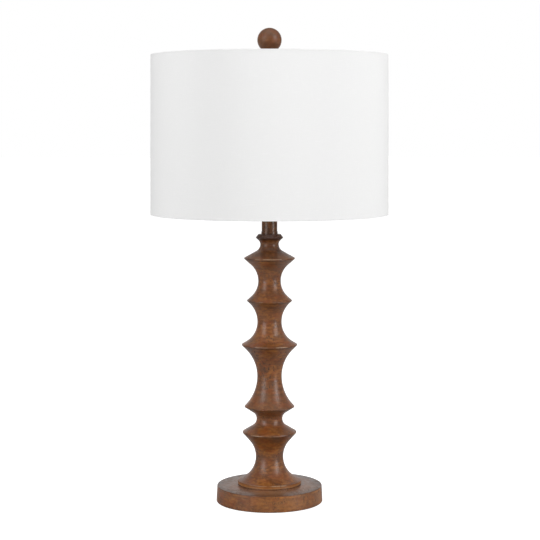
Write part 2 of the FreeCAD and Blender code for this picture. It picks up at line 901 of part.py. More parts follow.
def spider():
    # Arms lie on the washer, step up and run out level to the upper wire ring
    low = spider_washer_top + spider_wire_radius
    high = ring_level(True)
    rise = high - low
    turn = math.acos(1 - rise / (2 * spider_bend_radius))
    run = spider_bend_radius * math.sin(turn)
    middle = point(spider_bend_start + run, low + rise / 2)
    bend_end = point(spider_bend_start + 2 * run, high)
    quarter_run = spider_bend_radius * math.sin(turn / 2)
    quarter_rise = spider_bend_radius * (1 - math.cos(turn / 2))
    ring_inside = ring_centre_radius(True) - ring_wire_radius - ring_gap
    bend_start = point(spider_bend_start, low)
    path = [
        line(point(spider_start_radius, low), bend_start),
        arc(bend_start, point(spider_bend_start + quarter_run, low + quarter_rise), middle),
        arc(middle, point(bend_end.x - quarter_run, high - quarter_rise), bend_end),
        line(bend_end, point(ring_inside, high)),
    ]
    first = wire_along(path, spider_wire_radius)
    arms = []
    for i in range(spider_arms):
        arm = first.copy()
        arm.rotate(FreeCAD.Vector(0, 0, 0), up, math.degrees(arm_angle(i)))
        arms.append(arm)
    return Part.makeCompound(arms)


# --- Finial -----------------------------------------------------------------------------------

def finial_insert():
    # Round foot, waisted neck and a shank that is glued into the ball
    foot_top = finial_foot_level + finial_foot
    shank_top = ball_bottom + finial_shank
    waist = finial_neck_radius
    outline = [
        line(point(0, finial_foot_level), point(finial_foot_radius, finial_foot_level)),
        line(point(finial_foot_radius, finial_foot_level), point(finial_foot_radius, foot_top)),
        line(point(finial_foot_radius, foot_top), point(waist, foot_top + finial_foot_slope)),
        line(point(waist, foot_top + finial_foot_slope), point(waist, ball_seat())),
        line(point(waist, ball_seat()), point(finial_shank_radius, ball_seat())),
        line(point(finial_shank_radius, ball_seat()), point(finial_shank_radius, shank_top)),
        line(point(finial_shank_radius, shank_top), point(0, shank_top)),
        line(point(0, shank_top), point(0, finial_foot_level)),
    ]
    insert = turned(outline)
    thread = Part.makeCylinder(
        stud_thread_radius + stud_fit, finial_thread_depth, point(0, finial_foot_level)
    )
    return insert.cut(thread)


def ball_seat():
    # Height of the small flat on which the ball sits
    half = finial_neck_radius + finial_seat
    return ball_centre - math.sqrt(ball_radius ** 2 - half ** 2)


def finial_ball():
    ball = Part.makeSphere(ball_radius, point(0, ball_centre))
    below = Part.makeCylinder(ball_radius, ball_radius, point(0, ball_seat() - ball_radius))
    pocket = Part.makeCylinder(
        finial_shank_radius + nest_gap, finial_shank + seat_gap, point(0, ball_bottom)
    )
    return ball.cut([below, pocket])


# --- Bulb -------------------------------------------------------------------------------------

def bulb_outline(inset, low):
    # Edges from the neck's foot up to the crown, a given depth inside the glass
    radius = bulb_radius - inset
    neck = bulb_neck_radius - inset
    blend = bulb_neck_blend + inset
    angle = math.radians(bulb_flank_angle)
    centre = bulb_foot + bulb_length - bulb_radius

    def on_ball(a):
        return point(radius * math.cos(a), centre - radius * math.sin(a))

    flank_top = on_ball(angle)
    blend_x = neck + blend * (1 - math.cos(angle))
    flank_bottom = point(blend_x, flank_top.z - (flank_top.x - blend_x) / math.tan(angle))
    neck_top = point(neck, flank_bottom.z - blend * math.sin(angle))
    half = angle / 2
    blend_middle = point(neck + blend * (1 - math.cos(half)), neck_top.z + blend * math.sin(half))
    return [
        line(point(neck, low), neck_top),
        arc(neck_top, blend_middle, flank_bottom),
        line(flank_bottom, flank_top),
        arc(flank_top, on_ball((angle - math.pi / 2) / 2), on_ball(-math.pi / 2)),
    ]


def bulb_glass():
    # Blown envelope with a narrower collar that is cemented into the screw cap
    seat = bulb_foot + screw_cap_top
    collar_radius = screw_cap_radius - screw_cap_wall - nest_gap
    collar_foot = seat - glass_collar
    body = turned(bulb_outline(0, seat) + [
        line(point(0, bulb_foot + bulb_length), point(0, seat)),
        line(point(0, seat), point(bulb_neck_radius, seat)),
    ])
    floor = seat + glass_wall
    cavity = turned(bulb_outline(glass_wall, floor) + [
        line(point(0, bulb_foot + bulb_length - glass_wall), point(0, floor)),
        line(point(0, floor), point(bulb_neck_radius - glass_wall, floor)),
    ])
    collar = disc(collar_radius, collar_foot, seat)
    bore = Part.makeCylinder(collar_radius - glass_wall, floor - collar_foot, point(0, collar_foot))
    return body.fuse(collar).cut([cavity, bore]).removeSplitter()


def bulb_cap():
    low = bulb_foot + screw_cap_bottom
    return disc(screw_cap_radius, low, bulb_foot + screw_cap_top, screw_cap_radius - screw_cap_wall)


def bulb_insulator():
    # Cone between the screw cap and the tip contact
    low = bulb_foot + tip_thickness
    high = bulb_foot + screw_cap_bottom
    return turned(polygon(
        (0, low),
        (tip_radius + tip_margin, low),
        (screw_cap_radius, high),
        (0, high),
    ))


def bulb_contact():
    tip = disc(tip_radius, bulb_foot, bulb_foot + tip_thickness)
    rim = [e for e in tip.Edges if len(e.Vertexes) == 1 and e.BoundBox.ZMax < bulb_foot + small]
    return tip.makeChamfer(tip_bevel, rim)


def bulb_stem():
    # Glass mount: a disc in the neck and a tapered stem
    low = bulb_foot + screw_cap_top + glass_wall
    flare = bulb_neck_radius - glass_wall - nest_gap
    return turned(polygon(
        (0, low),
        (flare, low),
        (flare, low + glass_wall),
        (glass_stem_foot_radius, low + glass_stem_foot),
        (glass_stem_radius, low + glass_stem_height),
        (0, low + glass_stem_height),
    ))


def bulb_filament():
    foot = bulb_foot + screw_cap_top + glass_wall + glass_stem_height
    top = foot + filament_rise
    left_top = point(-filament_half_length, top)
    right_top = point(filament_half_length, top)
    left = rod_between(point(-glass_stem_radius / 2, foot), left_top, filament_lead_radius)
    right = rod_between(point(glass_stem_radius / 2, foot), right_top, filament_lead_radius)
    coil = rod_between(left_top, right_top, filament_radius)
    below = disc(glass_stem_radius, foot - glass_stem_radius, foot)
    return coil.fuse([left, right]).cut(below).removeSplitter()


PIECES = {
    "base_disc": base_disc,
    "base_weight": base_weight,
    "felt_pad": felt_pad,
    "cord_bush": cord_bush,
    "threaded_rod": threaded_rod,
    "bottom_washer": bottom_washer,
    "bottom_nut": bottom_nut,
    "column": column,
    "neck_ring": neck_ring,
    "neck_tube": neck_tube,
    "neck_cap": neck_cap,
    "harp_saddle": harp_saddle,
    "saddle_nut": saddle_nut,
    "socket_cap": socket_cap,
    "set_screw": set_screw,
    "socket_shell": socket_shell,
    "socket_insulator": socket_insulator,
    "socket_body": socket_body,
    "terminal_screws": terminal_screws,
    "screw_shell": screw_shell,
    "centre_contact": centre_contact,
    "switch_stem": switch_stem,
    "switch_knob": switch_knob,
    "harp_wire": harp_wire,
    "harp_sleeve_left": lambda: harp_sleeve(-1),
    "harp_sleeve_right": lambda: harp_sleeve(1),
    "harp_stud": harp_stud,
    "spider_washer": spider_washer,
    "spider": spider,
    "shade_ring_top": lambda: shade_ring(True),
    "shade_ring_bottom": lambda: shade_ring(False),
    "shade_liner": shade_liner,
    "shade_fabric": shade_fabric,
    "shade_hem_top": lambda: shade_hem(True),
    "shade_hem_bottom": lambda: shade_hem(False),
    "finial_insert": finial_insert,
    "finial_ball": finial_ball,
    "bulb_glass": bulb_glass,
    "bulb_cap": bulb_cap,
    "bulb_insulator": bulb_insulator,
    "bulb_contact": bulb_contact,
    "bulb_stem": bulb_stem,
    "bulb_filament": bulb_filament,
}

os.makedirs("parts", exist_ok=True)
for name, make in PIECES.items():
    shape = make()
    shape.exportStep("parts/" + name + ".step")
    print(name, "solids", len(shape.Solids), "valid", shape.isValid(), "volume", round(shape.Volume, 1))
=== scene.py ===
import math

import bmesh
import bpy
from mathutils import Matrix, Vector


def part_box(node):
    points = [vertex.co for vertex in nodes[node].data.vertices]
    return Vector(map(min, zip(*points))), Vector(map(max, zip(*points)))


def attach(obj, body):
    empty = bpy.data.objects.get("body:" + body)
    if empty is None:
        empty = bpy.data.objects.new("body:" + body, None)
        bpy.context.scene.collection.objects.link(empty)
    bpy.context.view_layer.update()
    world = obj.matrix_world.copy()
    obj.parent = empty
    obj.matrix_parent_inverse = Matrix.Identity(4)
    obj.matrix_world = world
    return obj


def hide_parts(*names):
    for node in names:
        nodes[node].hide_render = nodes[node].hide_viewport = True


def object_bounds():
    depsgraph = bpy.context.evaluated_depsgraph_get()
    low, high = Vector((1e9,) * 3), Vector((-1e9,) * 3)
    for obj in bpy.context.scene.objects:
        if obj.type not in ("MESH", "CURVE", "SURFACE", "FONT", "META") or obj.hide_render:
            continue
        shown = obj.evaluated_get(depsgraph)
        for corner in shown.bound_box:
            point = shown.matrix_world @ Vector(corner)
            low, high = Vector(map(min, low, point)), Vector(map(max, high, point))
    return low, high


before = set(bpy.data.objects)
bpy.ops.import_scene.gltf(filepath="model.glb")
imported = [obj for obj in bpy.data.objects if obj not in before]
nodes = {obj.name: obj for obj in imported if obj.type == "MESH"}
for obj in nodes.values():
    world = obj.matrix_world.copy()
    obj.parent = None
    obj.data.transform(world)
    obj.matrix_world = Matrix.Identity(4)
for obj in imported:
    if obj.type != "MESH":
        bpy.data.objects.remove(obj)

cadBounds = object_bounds()
tau = 2 * math.pi
tiny = 1e-6   # metres; lengths closer than this are the same


# Small helpers for node trees

def place(tree, kind, inputs=None, **settings):
    node = tree.nodes.new(kind)
    for key, value in settings.items():
        setattr(node, key, value)
    for key, value in (inputs or {}).items():
        feed(tree, node.inputs[key], value)
    return node


def feed(tree, socket, value):
    if isinstance(value, bpy.types.NodeSocket):
        tree.links.new(value, socket)
    elif isinstance(value, tuple) and len(value) == 3 and len(socket.default_value) == 4:
        socket.default_value = (*value, 1.0)
    else:
        socket.default_value = value


def calc(tree, operation, a, b=0.0, clamp=False):
    node = place(tree, "ShaderNodeMath", {0: a, 1: b}, operation=operation, use_clamp=clamp)
    return node.outputs[0]


def times(tree, a, b, clamp=False):
    return calc(tree, "MULTIPLY", a, b, clamp)


def plus(tree, a, b, clamp=False):
    return calc(tree, "ADD", a, b, clamp)


def minus(tree, a, b, clamp=False):
    return calc(tree, "SUBTRACT", a, b, clamp)


def weighted(tree, *parts):
    # Sum of (value, weight) pairs
    total = None
    for value, weight in parts:
        part = times(tree, value, weight)
        total = part if total is None else plus(tree, total, part)
    return total


def blendColor(tree, factor, a, b, mode="MIX"):
    node = place(tree, "ShaderNodeMix", data_type="RGBA", blend_type=mode, clamp_factor=True)
    feed(tree, node.inputs[0], factor)
    feed(tree, node.inputs[6], a)
    feed(tree, node.inputs[7], b)
    return node.outputs[2]


def spread(tree, value, low, high, toLow=0.0, toHigh=1.0, smooth=True):
    kind = "SMOOTHSTEP" if smooth else "LINEAR"
    node = place(
        tree,
        "ShaderNodeMapRange",
        {"Value": value, "From Min": low, "From Max": high, "To Min": toLow, "To Max": toHigh},
        interpolation_type=kind,
    )
    return node.outputs["Result"]


def noise(tree, vector, scale, detail=3.0, roughness=0.55, distortion=0.0):
    values = {"Scale": scale, "Detail": detail, "Roughness": roughness, "Distortion": distortion}
    return place(tree, "ShaderNodeTexNoise", {"Vector": vector, **values}).outputs["Fac"]


def stretched(tree, vector, factors):
    node = place(tree, "ShaderNodeVectorMath", {0: vector, 1: factors}, operation="MULTIPLY")
    return node.outputs["Vector"]


def objectPlace(tree):
    return tree.nodes.new("ShaderNodeTexCoord").outputs["Object"]


def newGroup(name, inputs, outputs):
    # Place is a vector and every other socket a number; whoever uses the group gives all its inputs
    group = bpy.data.node_groups.new(name, "ShaderNodeTree")
    for way, labels in (("INPUT", inputs), ("OUTPUT", outputs)):
        for label in labels:
            kind = "NodeSocketVector" if label == "Place" else "NodeSocketFloat"
            group.interface.new_socket(label, in_out=way, socket_type=kind)
    return group, group.nodes.new("NodeGroupInput").outputs, group.nodes.new("NodeGroupOutput").inputs


def useGroup(tree, group, **inputs):
    node = tree.nodes.new("ShaderNodeGroup")
    node.node_tree = group
    for key, value in inputs.items():
        feed(tree, node.inputs[key], value)
    return node.outputs


def newMaterial(name):
    material = bpy.data.materials.new(name)
    material.use_nodes = True
    tree = material.node_tree
    tree.nodes.clear()
    shader = tree.nodes.new("ShaderNodeBsdfPrincipled")
    output = tree.nodes.new("ShaderNodeOutputMaterial")
    tree.links.new(shader.outputs["BSDF"], output.inputs["Surface"])
    return material, tree, shader


def bumpInto(tree, shader, height, strength, distance):
    bump = place(tree, "ShaderNodeBump", {"Strength": strength, "Distance": distance, "Height": height})
    tree.links.new(bump.outputs["Normal"], shader.inputs["Normal"])


def dress(node, material):
    data = nodes[node].data
    data.materials.clear()
    data.materials.append(material)


# Effects that several finishes share; noises are given as scale, detail, roughness, distortion

def makeLatheSpace():
    # Round a piece's own upright axis: height, and angle from the front, positive to the right
    group, _, result = newGroup("latheSpace", [], ["Place", "Height", "Angle"])
    at = objectPlace(group)
    parts = place(group, "ShaderNodeSeparateXYZ", {0: at}).outputs
    feed(group, result["Place"], at)
    feed(group, result["Height"], parts["Z"])
    forward = times(group, parts["Y"], -1.0)
    feed(group, result["Angle"], calc(group, "ARCTAN2", parts["X"], forward))
    return group


mottleLook = {
    "lie": (1.0, 1.0, 1.9),       # patches and flecks lie flat
    "patch": (4.0, 0.55, 0.3),    # noise without its scale
    "fleck": (3.0, 0.6, 0.2),
    "limits": (0.34, 0.68),
    # Stains over them: scale against the patches, stretch in height, detail, where they begin and are full
    "stains": {"Veil": (0.7, 1.5, 3.0, 0.44, 0.62), "Blush": (1.9, 2.6, 4.0, 0.46, 0.66)},
}


def makeMottle():
    # Soft cloudy patches with smaller flecks in them, and two kinds of stain
    look = mottleLook
    outputs = ["Patches", "Flecks", *look["stains"]]
    group, given, result = newGroup("mottle", ["Place", "Patch", "Fleck"], outputs)
    flat = stretched(group, given["Place"], look["lie"])
    patches = noise(group, flat, given["Patch"], *look["patch"])
    flecks = noise(group, flat, given["Fleck"], *look["fleck"])
    feed(group, result["Patches"], spread(group, patches, *look["limits"]))
    feed(group, result["Flecks"], spread(group, flecks, *look["limits"]))
    for label, (share, lie, detail, low, high) in look["stains"].items():
        at = stretched(group, given["Place"], (1.0, 1.0, lie))
        stain = noise(group, at, times(group, given["Patch"], share), detail)
        feed(group, result[label], spread(group, stain, low, high))
    return group


turningLook = {"noise": (1.0, 3.0, 0.7), "limits": (0.3, 0.7)}


def makeTurningLines():
    # Fine rings left by the tool, broken up along their length
    group, given, result = newGroup("turningLines", ["Place", "Pitch", "Break"], ["Lines"])
    parts = place(group, "ShaderNodeSeparateXYZ", {0: given["Place"]}).outputs
    scales = {"X": given["Break"], "Y": given["Break"], "Z": given["Pitch"]}
    scaled = {axis: times(group, parts[axis], scale) for axis, scale in scales.items()}
    flat = place(group, "ShaderNodeCombineXYZ", scaled).outputs[0]
    lines = noise(group, flat, *turningLook["noise"])
    feed(group, result["Lines"], spread(group, lines, *turningLook["limits"]))
    return group


grainLook = {
    # Stretch, detail and roughness of each kind
    "fibre": ((420.0, 420.0, 34.0), 3.0, 0.65),
    "fibreLimits": (0.3, 0.7),
    "pore": ((900.0, 900.0, 240.0), 2.0, 0.5),
    "poreField": (42.0, 2.0, 0.5),                # noise that says where pores are open
    "poreLimits": (0.45, 0.7, 0.78, 0.59),        # of the field, and how strong a pore has to be at each
    "mark": ((360.0, 360.0, 150.0), 3.0, 0.7),
    "markField": (24.0, 2.0, 0.5),
    "markLimits": (0.44, 0.62, 0.76, 0.55),
    "edge": 0.05,                                 # softness of a pit's edge
}


def makeGrainPits():
    # Short upright pores of the wood and larger marks, filled with dark glaze
    look = grainLook
    group, given, result = newGroup("grainPits", ["Place", "Amount"], ["Fibres", "Pits"])

    def grain(stretch, detail, roughness):
        return noise(group, stretched(group, given["Place"], stretch), 1.0, detail, roughness)

    def scattered(kind):
        field = noise(group, given["Place"], *look[kind + "Field"])
        limit = spread(group, field, *look[kind + "Limits"])
        return spread(group, minus(group, grain(*look[kind]), limit), 0.0, look["edge"])

    feed(group, result["Fibres"], spread(group, grain(*look["fibre"]), *look["fibreLimits"]))
    pits = calc(group, "MAXIMUM", scattered("pore"), scattered("mark"))
    feed(group, result["Pits"], times(group, pits, given["Amount"]))
    return group


lineLook = {
    "patch": (95.0, 4.0, 0.7),      # worn places along the line
    "patchLimits": (0.42, 0.6),
    "ragged": (160.0, 3.0, 0.7),    # uneven ends
    "raggedSwing": 0.16,            # radians
    "fade": 0.03,
}


def makeEdgeLine():
    # A thin line round the piece at one height, from one angle to another, worn away in places
    look = lineLook
    inputs = ["Place", "Height", "Angle", "Level", "Width", "From", "To", "Broken"]
    group, given, result = newGroup("edgeLine", inputs, ["Line"])
    away = calc(group, "ABSOLUTE", minus(group, given["Height"], given["Level"]))
    near = minus(group, 1.0, calc(group, "DIVIDE", away, given["Width"]), clamp=True)
    patchy = spread(group, noise(group, given["Place"], *look["patch"]), *look["patchLimits"])
    gone = times(group, given["Broken"], minus(group, 1.0, patchy))
    line = times(group, near, minus(group, 1.0, gone), clamp=True)
    ragged = times(group, noise(group, given["Place"], *look["ragged"]), look["raggedSwing"])
    angle = plus(group, given["Angle"], minus(group, ragged, look["raggedSwing"] / 2))
    after = spread(group, minus(group, angle, given["From"]), -look["fade"], look["fade"])
    before = spread(group, minus(group, given["To"], angle), -look["fade"], look["fade"])
    feed(group, result["Line"], times(group, line, times(group, after, before)))
    return group


wearLook = {
    "broad": (4.0, 0.6),     # noise without its scale
    "fine": (3.0, 0.6),
    "fineScale": 7.0,        # against the broad one
    "limits": (0.3, 0.7),
    "depth": 0.0003,         # of the bump, in metres
}


def makeFineWear():
    # Small changes of tone and polish on metal and moulded pieces
    look = wearLook
    inputs = ["Place", "Scale", "Polish", "Swing"]
    group, given, result = newGroup("fineWear", inputs, ["Tone", "Roughness", "Height"])
    broad = noise(group, given["Place"], given["Scale"], *look["broad"])
    fine = noise(group, given["Place"], times(group, given["Scale"], look["fineScale"]), *look["fine"])
    shift = times(group, minus(group, broad, 0.5), given["Swing"])
    feed(group, result["Tone"], spread(group, broad, *look["limits"]))
    feed(group, result["Roughness"], plus(group, given["Polish"], times(group, shift, 2.0), clamp=True))
    feed(group, result["Height"], weighted(group, (broad, 0.5), (fine, 0.5)))
    return group


weaveLook = {
    "wobble": (140.0, 2.0),
    "wobbleDepth": 0.0007,          # how far a thread strays, in metres
    "slubNoise": (1.0, 2.0, 0.6),
    # Thick places in the weft and in the warp: stretch, where they begin and are full
    "slubs": [((60.0, 1300.0, 1.0), 0.55, 0.78), ((1300.0, 45.0, 1.0), 0.57, 0.8)],
    "threadShare": 0.3,             # of the relief
    "slubShare": 0.7,
    "gapLimits": (-0.2, -1.0),
}


def makeLinenWeave():
    # Plain weave on an upright drum: weft runs round, warp runs up, with thicker threads here and there
    look = weaveLook
    group, given, result = newGroup("linenWeave", ["Drum", "Thread"], ["Height", "Slubs", "Gaps"])
    space = useGroup(group, latheSpace)
    arc = times(group, space["Angle"], given["Drum"])
    stray = minus(group, noise(group, space["Place"], *look["wobble"]), 0.5)
    wobble = times(group, stray, look["wobbleDepth"])
    turn = calc(group, "DIVIDE", math.pi, given["Thread"])
    warp = calc(group, "SINE", times(group, plus(group, arc, wobble), turn))
    weft = calc(group, "SINE", times(group, plus(group, space["Height"], wobble), turn))
    over = times(group, warp, weft)
    rolled = place(group, "ShaderNodeCombineXYZ", {"X": arc, "Y": space["Height"], "Z": 0.0}).outputs[0]
    thick = []
    for stretch, low, high in look["slubs"]:
        slub = noise(group, stretched(group, rolled, stretch), *look["slubNoise"])
        thick.append(spread(group, slub, low, high))
    slubs = calc(group, "MAXIMUM", *thick)
    feed(group, result["Height"], weighted(group, (over, look["threadShare"]), (slubs, look["slubShare"])))
    feed(group, result["Slubs"], slubs)
    feed(group, result["Gaps"], spread(group, over, *look["gapLimits"]))
    return group


latheSpace = makeLatheSpace()
mottle = makeMottle()
turningLines = makeTurningLines()
grainPits = makeGrainPits()
edgeLine = makeEdgeLine()
fineWear = makeFineWear()
linenWeave = makeLinenWeave()
print("shared effects ready")


# Turned wood

woodLook = {
    "dark": (0.085, 0.025, 0.006),
    "middle": (0.175, 0.058, 0.012),
    "light": (0.355, 0.132, 0.025),
    # Dark glaze in the pores and lines; also painted shade in the creases and hollows under the flanges
    "glazeAndShade": (0.032, 0.014, 0.007),
    "veil": (0.120, 0.062, 0.034),
    "blush": (0.215, 0.052, 0.009),
    # Lighter orange for worn places on the base's rim, and painted light on the lit foot band and the
    # base's lit side
    "rubbedAndLit": (0.420, 0.165, 0.036),
    # Pale bare wood on worn edges, and the painted highlight on the foot's lower corner
    "worn": (0.50, 0.34, 0.22),
    "tone": 1.0,
    "patch": 30.0,             # cloudy patches per metre
    "fleck": 150.0,
    "pitch": 430.0,            # turning streaks per metre of height
    "break": 44.0,
    "patchShare": 0.36,        # shares in the change from dark to light
    "fleckShare": 0.36,
    "ringShare": 0.22,
    "fibreShare": 0.06,
    "darkSpan": (0.0, 0.5),    # where dark turns into middle
    "lightSpan": (0.45, 1.0),
    "veilDepth": 0.4,
    "blushDepth": 0.5,
    "pits": 0.85,              # how dark the open pores are
    "polish": 0.36,
    "polishSwing": 0.16,
    "pitRough": 0.2,
    "specular": 0.50,
    "coat": 0.06,
    "coatPolish": 0.28,
    "ringRelief": 0.5,
    "fleckRelief": 0.3,
    "pitRelief": -0.8,
    "bump": (0.26, 0.0006),    # strength, depth in metres
}

# Lines are given as drop, half width, strength, how broken

ballLook = {
    **woodLook,                # the same stain, smoother and less glossy
    "dark": (0.110, 0.036, 0.010),
    "middle": (0.168, 0.056, 0.013),
    "light": (0.250, 0.088, 0.019),
    "tone": 0.90,
    "pits": 0.25,
    "polish": 0.47,
    "coat": 0.0,
    "footLine": (0.0, 0.004, 0.6, 0.3),
}

columnLook = {
    "apart": 0.006,            # edges nearer than this are one edge
    # Bare wood along each edge from the foot up: lift, then (from angle, to angle, strength)
    "wear": [
        (0.0000, (-40, -6, 0.45), (3, 32, 0.8), (110, 160, 0.6), (-170, -120, 0.5)),
        (0.0002, (-44, -14, 0.55), (8, 20, 0.3), (60, 100, 0.5), (150, 178, 0.6)),
        (0.0000, (-30, -22, 0.3), (30, 44, 0.3), (-150, -100, 0.4)),
        (0.0003, (-30, -4, 0.45), (14, 40, 0.85), (85, 120, 0.6), (-160, -130, 0.7)),
        (0.0000, (-28, -18, 0.5), (10, 16, 0.5), (-110, -80, 0.5), (130, 150, 0.5)),
        (0.0007, (-14, 29, 1.0), (-34, -22, 0.6), (80, 115, 0.8), (-165, -120, 0.8), (140, 172, 0.6)),
        (0.0000,),
    ],
    "wearWidth": 0.0008,
    "wearBreak": 0.5,
    # Dark lines by each edge: dark glaze on the nose, painted shade in the crease and the hollow under it;
    # drop, half width, how broken, then the strength at each edge
    "darkAndShadeLines": [
        (0.0, 0.0016, 0.6, (0.0, 0.55, 0.55, 0.55, 0.55, 0.55, 0.55)),       # either side of the nose
        (0.0022, 0.0016, 0.6, (0.0, 0.45, 0.35, 0.80, 0.75, 0.95, 0.95)),    # painted shade: a dark line in the crease under it
        (0.008, 0.010, 0.3, (0.0, 0.20, 0.10, 0.15, 0.50, 0.10, 0.0)),       # painted shade over the hollow below
    ],
    "footBandLight": (0.0032, 0.0040, 0.65, 0.2),     # the foot's square band, brighter orange: its own colour and painted light
    "footLine": (0.0044, 0.0008, 0.6, 0.3),     # and its lower corner: a painted highlight line
    # Dark glaze and painted shade cast by the lampshade over the top flange and the collar: edge, from,
    # to, strength, paint
    "topDarkAndShade": [
        (-2, 0.0, 0.008, 0.40, (0.032, 0.014, 0.007)),
        (-1, -0.005, -0.001, 0.80, (0.045, 0.010, 0.002)),
    ],
}

baseLook = {
    "wall": 0.0025,            # the rim's wall lies this far within the widest point
    # Painted light and painted reflection: the whole top face lighter and greyer
    "top": (0.220, 0.120, 0.078),
    "litTopDepth": 0.6,
    "litTopFade": 0.0004,
    "headLine": (0.0, 0.0012, 0.8, 0.3),
    "footLine": (0.0, 0.0016, 0.6, 0.5),
    "chipDrop": 0.0026,
    "chipWidth": 0.0020,
    "chips": [(12, 36, 0.9), (-44, -24, 0.6), (50, 80, 0.6), (110, 170, 0.8), (-170, -110, 0.7)],
    # Painted light: the front and right of the side lighter, where the lights fall
    "sideLight": (-20, 80, 0.4),
    "sideBreak": 0.7,
}

allRound = (-230, 230)         # degrees, past the seam behind a piece on both sides


def outOf(vertex):
    return math.hypot(vertex.co.x, vertex.co.y)


def rimLevels(node, depth):
    # Lowest and highest point of a round piece's outermost wall
    vertices = nodes[node].data.vertices
    reach = max(outOf(v) for v in vertices)
    wall = [v.co.z for v in vertices if outOf(v) > reach - depth]
    print(node, "rim from", round(min(wall), 4), "to", round(max(wall), 4))
    return min(wall), max(wall)


def turnedEdges(node, apart):
    # Heights at which a turned piece is widest between two hollows, from the foot up
    widest = {}
    for vertex in nodes[node].data.vertices:
        level = round(vertex.co.z, 4)
        widest[level] = max(outOf(vertex), widest.get(level, 0.0))
    levels = sorted(widest)
    found = []
    for below, here, above in zip(levels, levels[1:], levels[2:]):
        if widest[here] >= widest[below] and widest[here] > widest[above] + tiny:
            if not found or here - found[-1] > apart:
                found.append(here)
            else:
                found[-1] = here
    return found


def lineAt(level, line, arc=allRound):
    drop, width, strength, broken = line
    return (level - drop, width, strength, broken, *arc)


def woodMaterial(name, look, paleLines=(), darkLines=(), rubbedAndLitLines=(), bands=()):
    # The three kinds of lines hold (height, half width, strength, how broken, from angle, to angle);
    # bands hold (low, high, strength, paint), fading in from low to high
    material, tree, shader = newMaterial(name)
    space = useGroup(tree, latheSpace)
    at = space["Place"]
    cloud = useGroup(tree, mottle, Place=at, Patch=look["patch"], Fleck=look["fleck"])
    rings = useGroup(tree, turningLines, Place=at, Pitch=look["pitch"], Break=look["break"])["Lines"]
    grain = useGroup(tree, grainPits, Place=at, Amount=look["pits"])
    warm = weighted(
        tree,
        (cloud["Patches"], look["patchShare"]),
        (cloud["Flecks"], look["fleckShare"]),
        (rings, look["ringShare"]),
        (grain["Fibres"], look["fibreShare"]),
    )
    toMiddle = spread(tree, warm, *look["darkSpan"], smooth=False)
    color = blendColor(tree, toMiddle, look["dark"], look["middle"])
    toLight = spread(tree, warm, *look["lightSpan"], smooth=False)
    color = blendColor(tree, toLight, color, look["light"])
    color = blendColor(tree, times(tree, cloud["Veil"], look["veilDepth"]), color, look["veil"])
    color = blendColor(tree, times(tree, cloud["Blush"], look["blushDepth"]), color, look["blush"])
    for foot, head, strength, paint in bands:
        color = blendColor(tree, spread(tree, space["Height"], foot, head, 0.0, strength), color, paint)
    color = blendColor(tree, grain["Pits"], color, look["glazeAndShade"])
    # Lighter lines carry wear and painted light, dark lines glaze and painted shade
    painted = ((rubbedAndLitLines, look["rubbedAndLit"]), (darkLines, look["glazeAndShade"]), (paleLines, look["worn"]))
    for lines, paint in painted:
        for level, width, strength, broken, start, end in lines:
            line = useGroup(
                tree,
                edgeLine,
                Place=at,
                Height=space["Height"],
                Angle=space["Angle"],
                Level=level,
                Width=width,
                From=math.radians(start),
                To=math.radians(end),
                Broken=broken,
            )["Line"]
            color = blendColor(tree, times(tree, line, strength), color, paint)
    if look["tone"] != 1.0:
        color = blendColor(tree, 1.0, color, (look["tone"],) * 3, "MULTIPLY")
    feed(tree, shader.inputs["Base Color"], color)
    swing = times(tree, cloud["Flecks"], look["polishSwing"])
    rough = plus(tree, look["polish"] - look["polishSwing"] / 2, swing)
    rough = plus(tree, rough, times(tree, grain["Pits"], look["pitRough"]))
    feed(tree, shader.inputs["Roughness"], rough)
    shader.inputs["Coat Weight"].default_value = look["coat"]
    shader.inputs["Coat Roughness"].default_value = look["coatPolish"]
    shader.inputs["Specular IOR Level"].default_value = look["specular"]
    relief = weighted(
        tree,
        (rings, look["ringRelief"]),
        (cloud["Flecks"], look["fleckRelief"]),
        (grain["Pits"], look["pitRelief"]),
    )
    bumpInto(tree, shader, relief, *look["bump"])
    return material


def dressColumn():
    look = columnLook
    edges = turnedEdges("column", look["apart"])
    print("column edges", [round(e, 4) for e in edges])
    pale, dark = [], []
    for level, (lift, *arcs) in zip(edges, look["wear"]):
        for start, end, strength in arcs:
            pale.append((level + lift, look["wearWidth"], strength, look["wearBreak"], start, end))
    # Painted highlight along the foot's lower corner
    pale.append(lineAt(edges[0], look["footLine"]))
    # Dark glaze on the noses and painted shade under them
    for drop, width, broken, strengths in look["darkAndShadeLines"]:
        for level, strength in zip(edges, strengths):
            if strength > 0:
                dark.append(lineAt(level, (drop, width, strength, broken)))
    # Painted light brightening the foot band over its own orange
    rubbedAndLit = [lineAt(edges[0], look["footBandLight"])]
    # Dark glaze and painted shade over the top flange and the collar
    bands = [(edges[i] + low, edges[i] + high, *rest) for i, low, high, *rest in look["topDarkAndShade"]]
    dress("column", woodMaterial("columnWood", woodLook, pale, dark, rubbedAndLit, bands))


def dressBase():
    look = baseLook
    foot, head = rimLevels("base_disc", look["wall"])
    dark = [lineAt(head, look["headLine"]), lineAt(foot, look["footLine"])]
    rubbedAndLit = []
    for start, end, strength in look["chips"]:
        chip = (look["chipDrop"], look["chipWidth"], strength, look["sideBreak"])
        rubbedAndLit.append(lineAt(head, chip, (start, end)))
    # Painted light over the lit front and right of the side
    start, end, strength = look["sideLight"]
    rubbedAndLit.append(((foot + head) / 2, head, strength, look["sideBreak"], start, end))
    # Painted light and reflection over the top face
    bands = [(head, head + look["litTopFade"], look["litTopDepth"], look["top"])]
    dress("base_disc", woodMaterial("baseWood", woodLook, (), dark, rubbedAndLit, bands))


def dressBall():
    dark = [lineAt(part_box("finial_ball")[0].z, ballLook["footLine"])]
    dress("finial_ball", woodMaterial("ballWood", ballLook, darkLines=dark))


dressColumn()
dressBase()
dressBall()
print("wood dressed")


# Stained neck

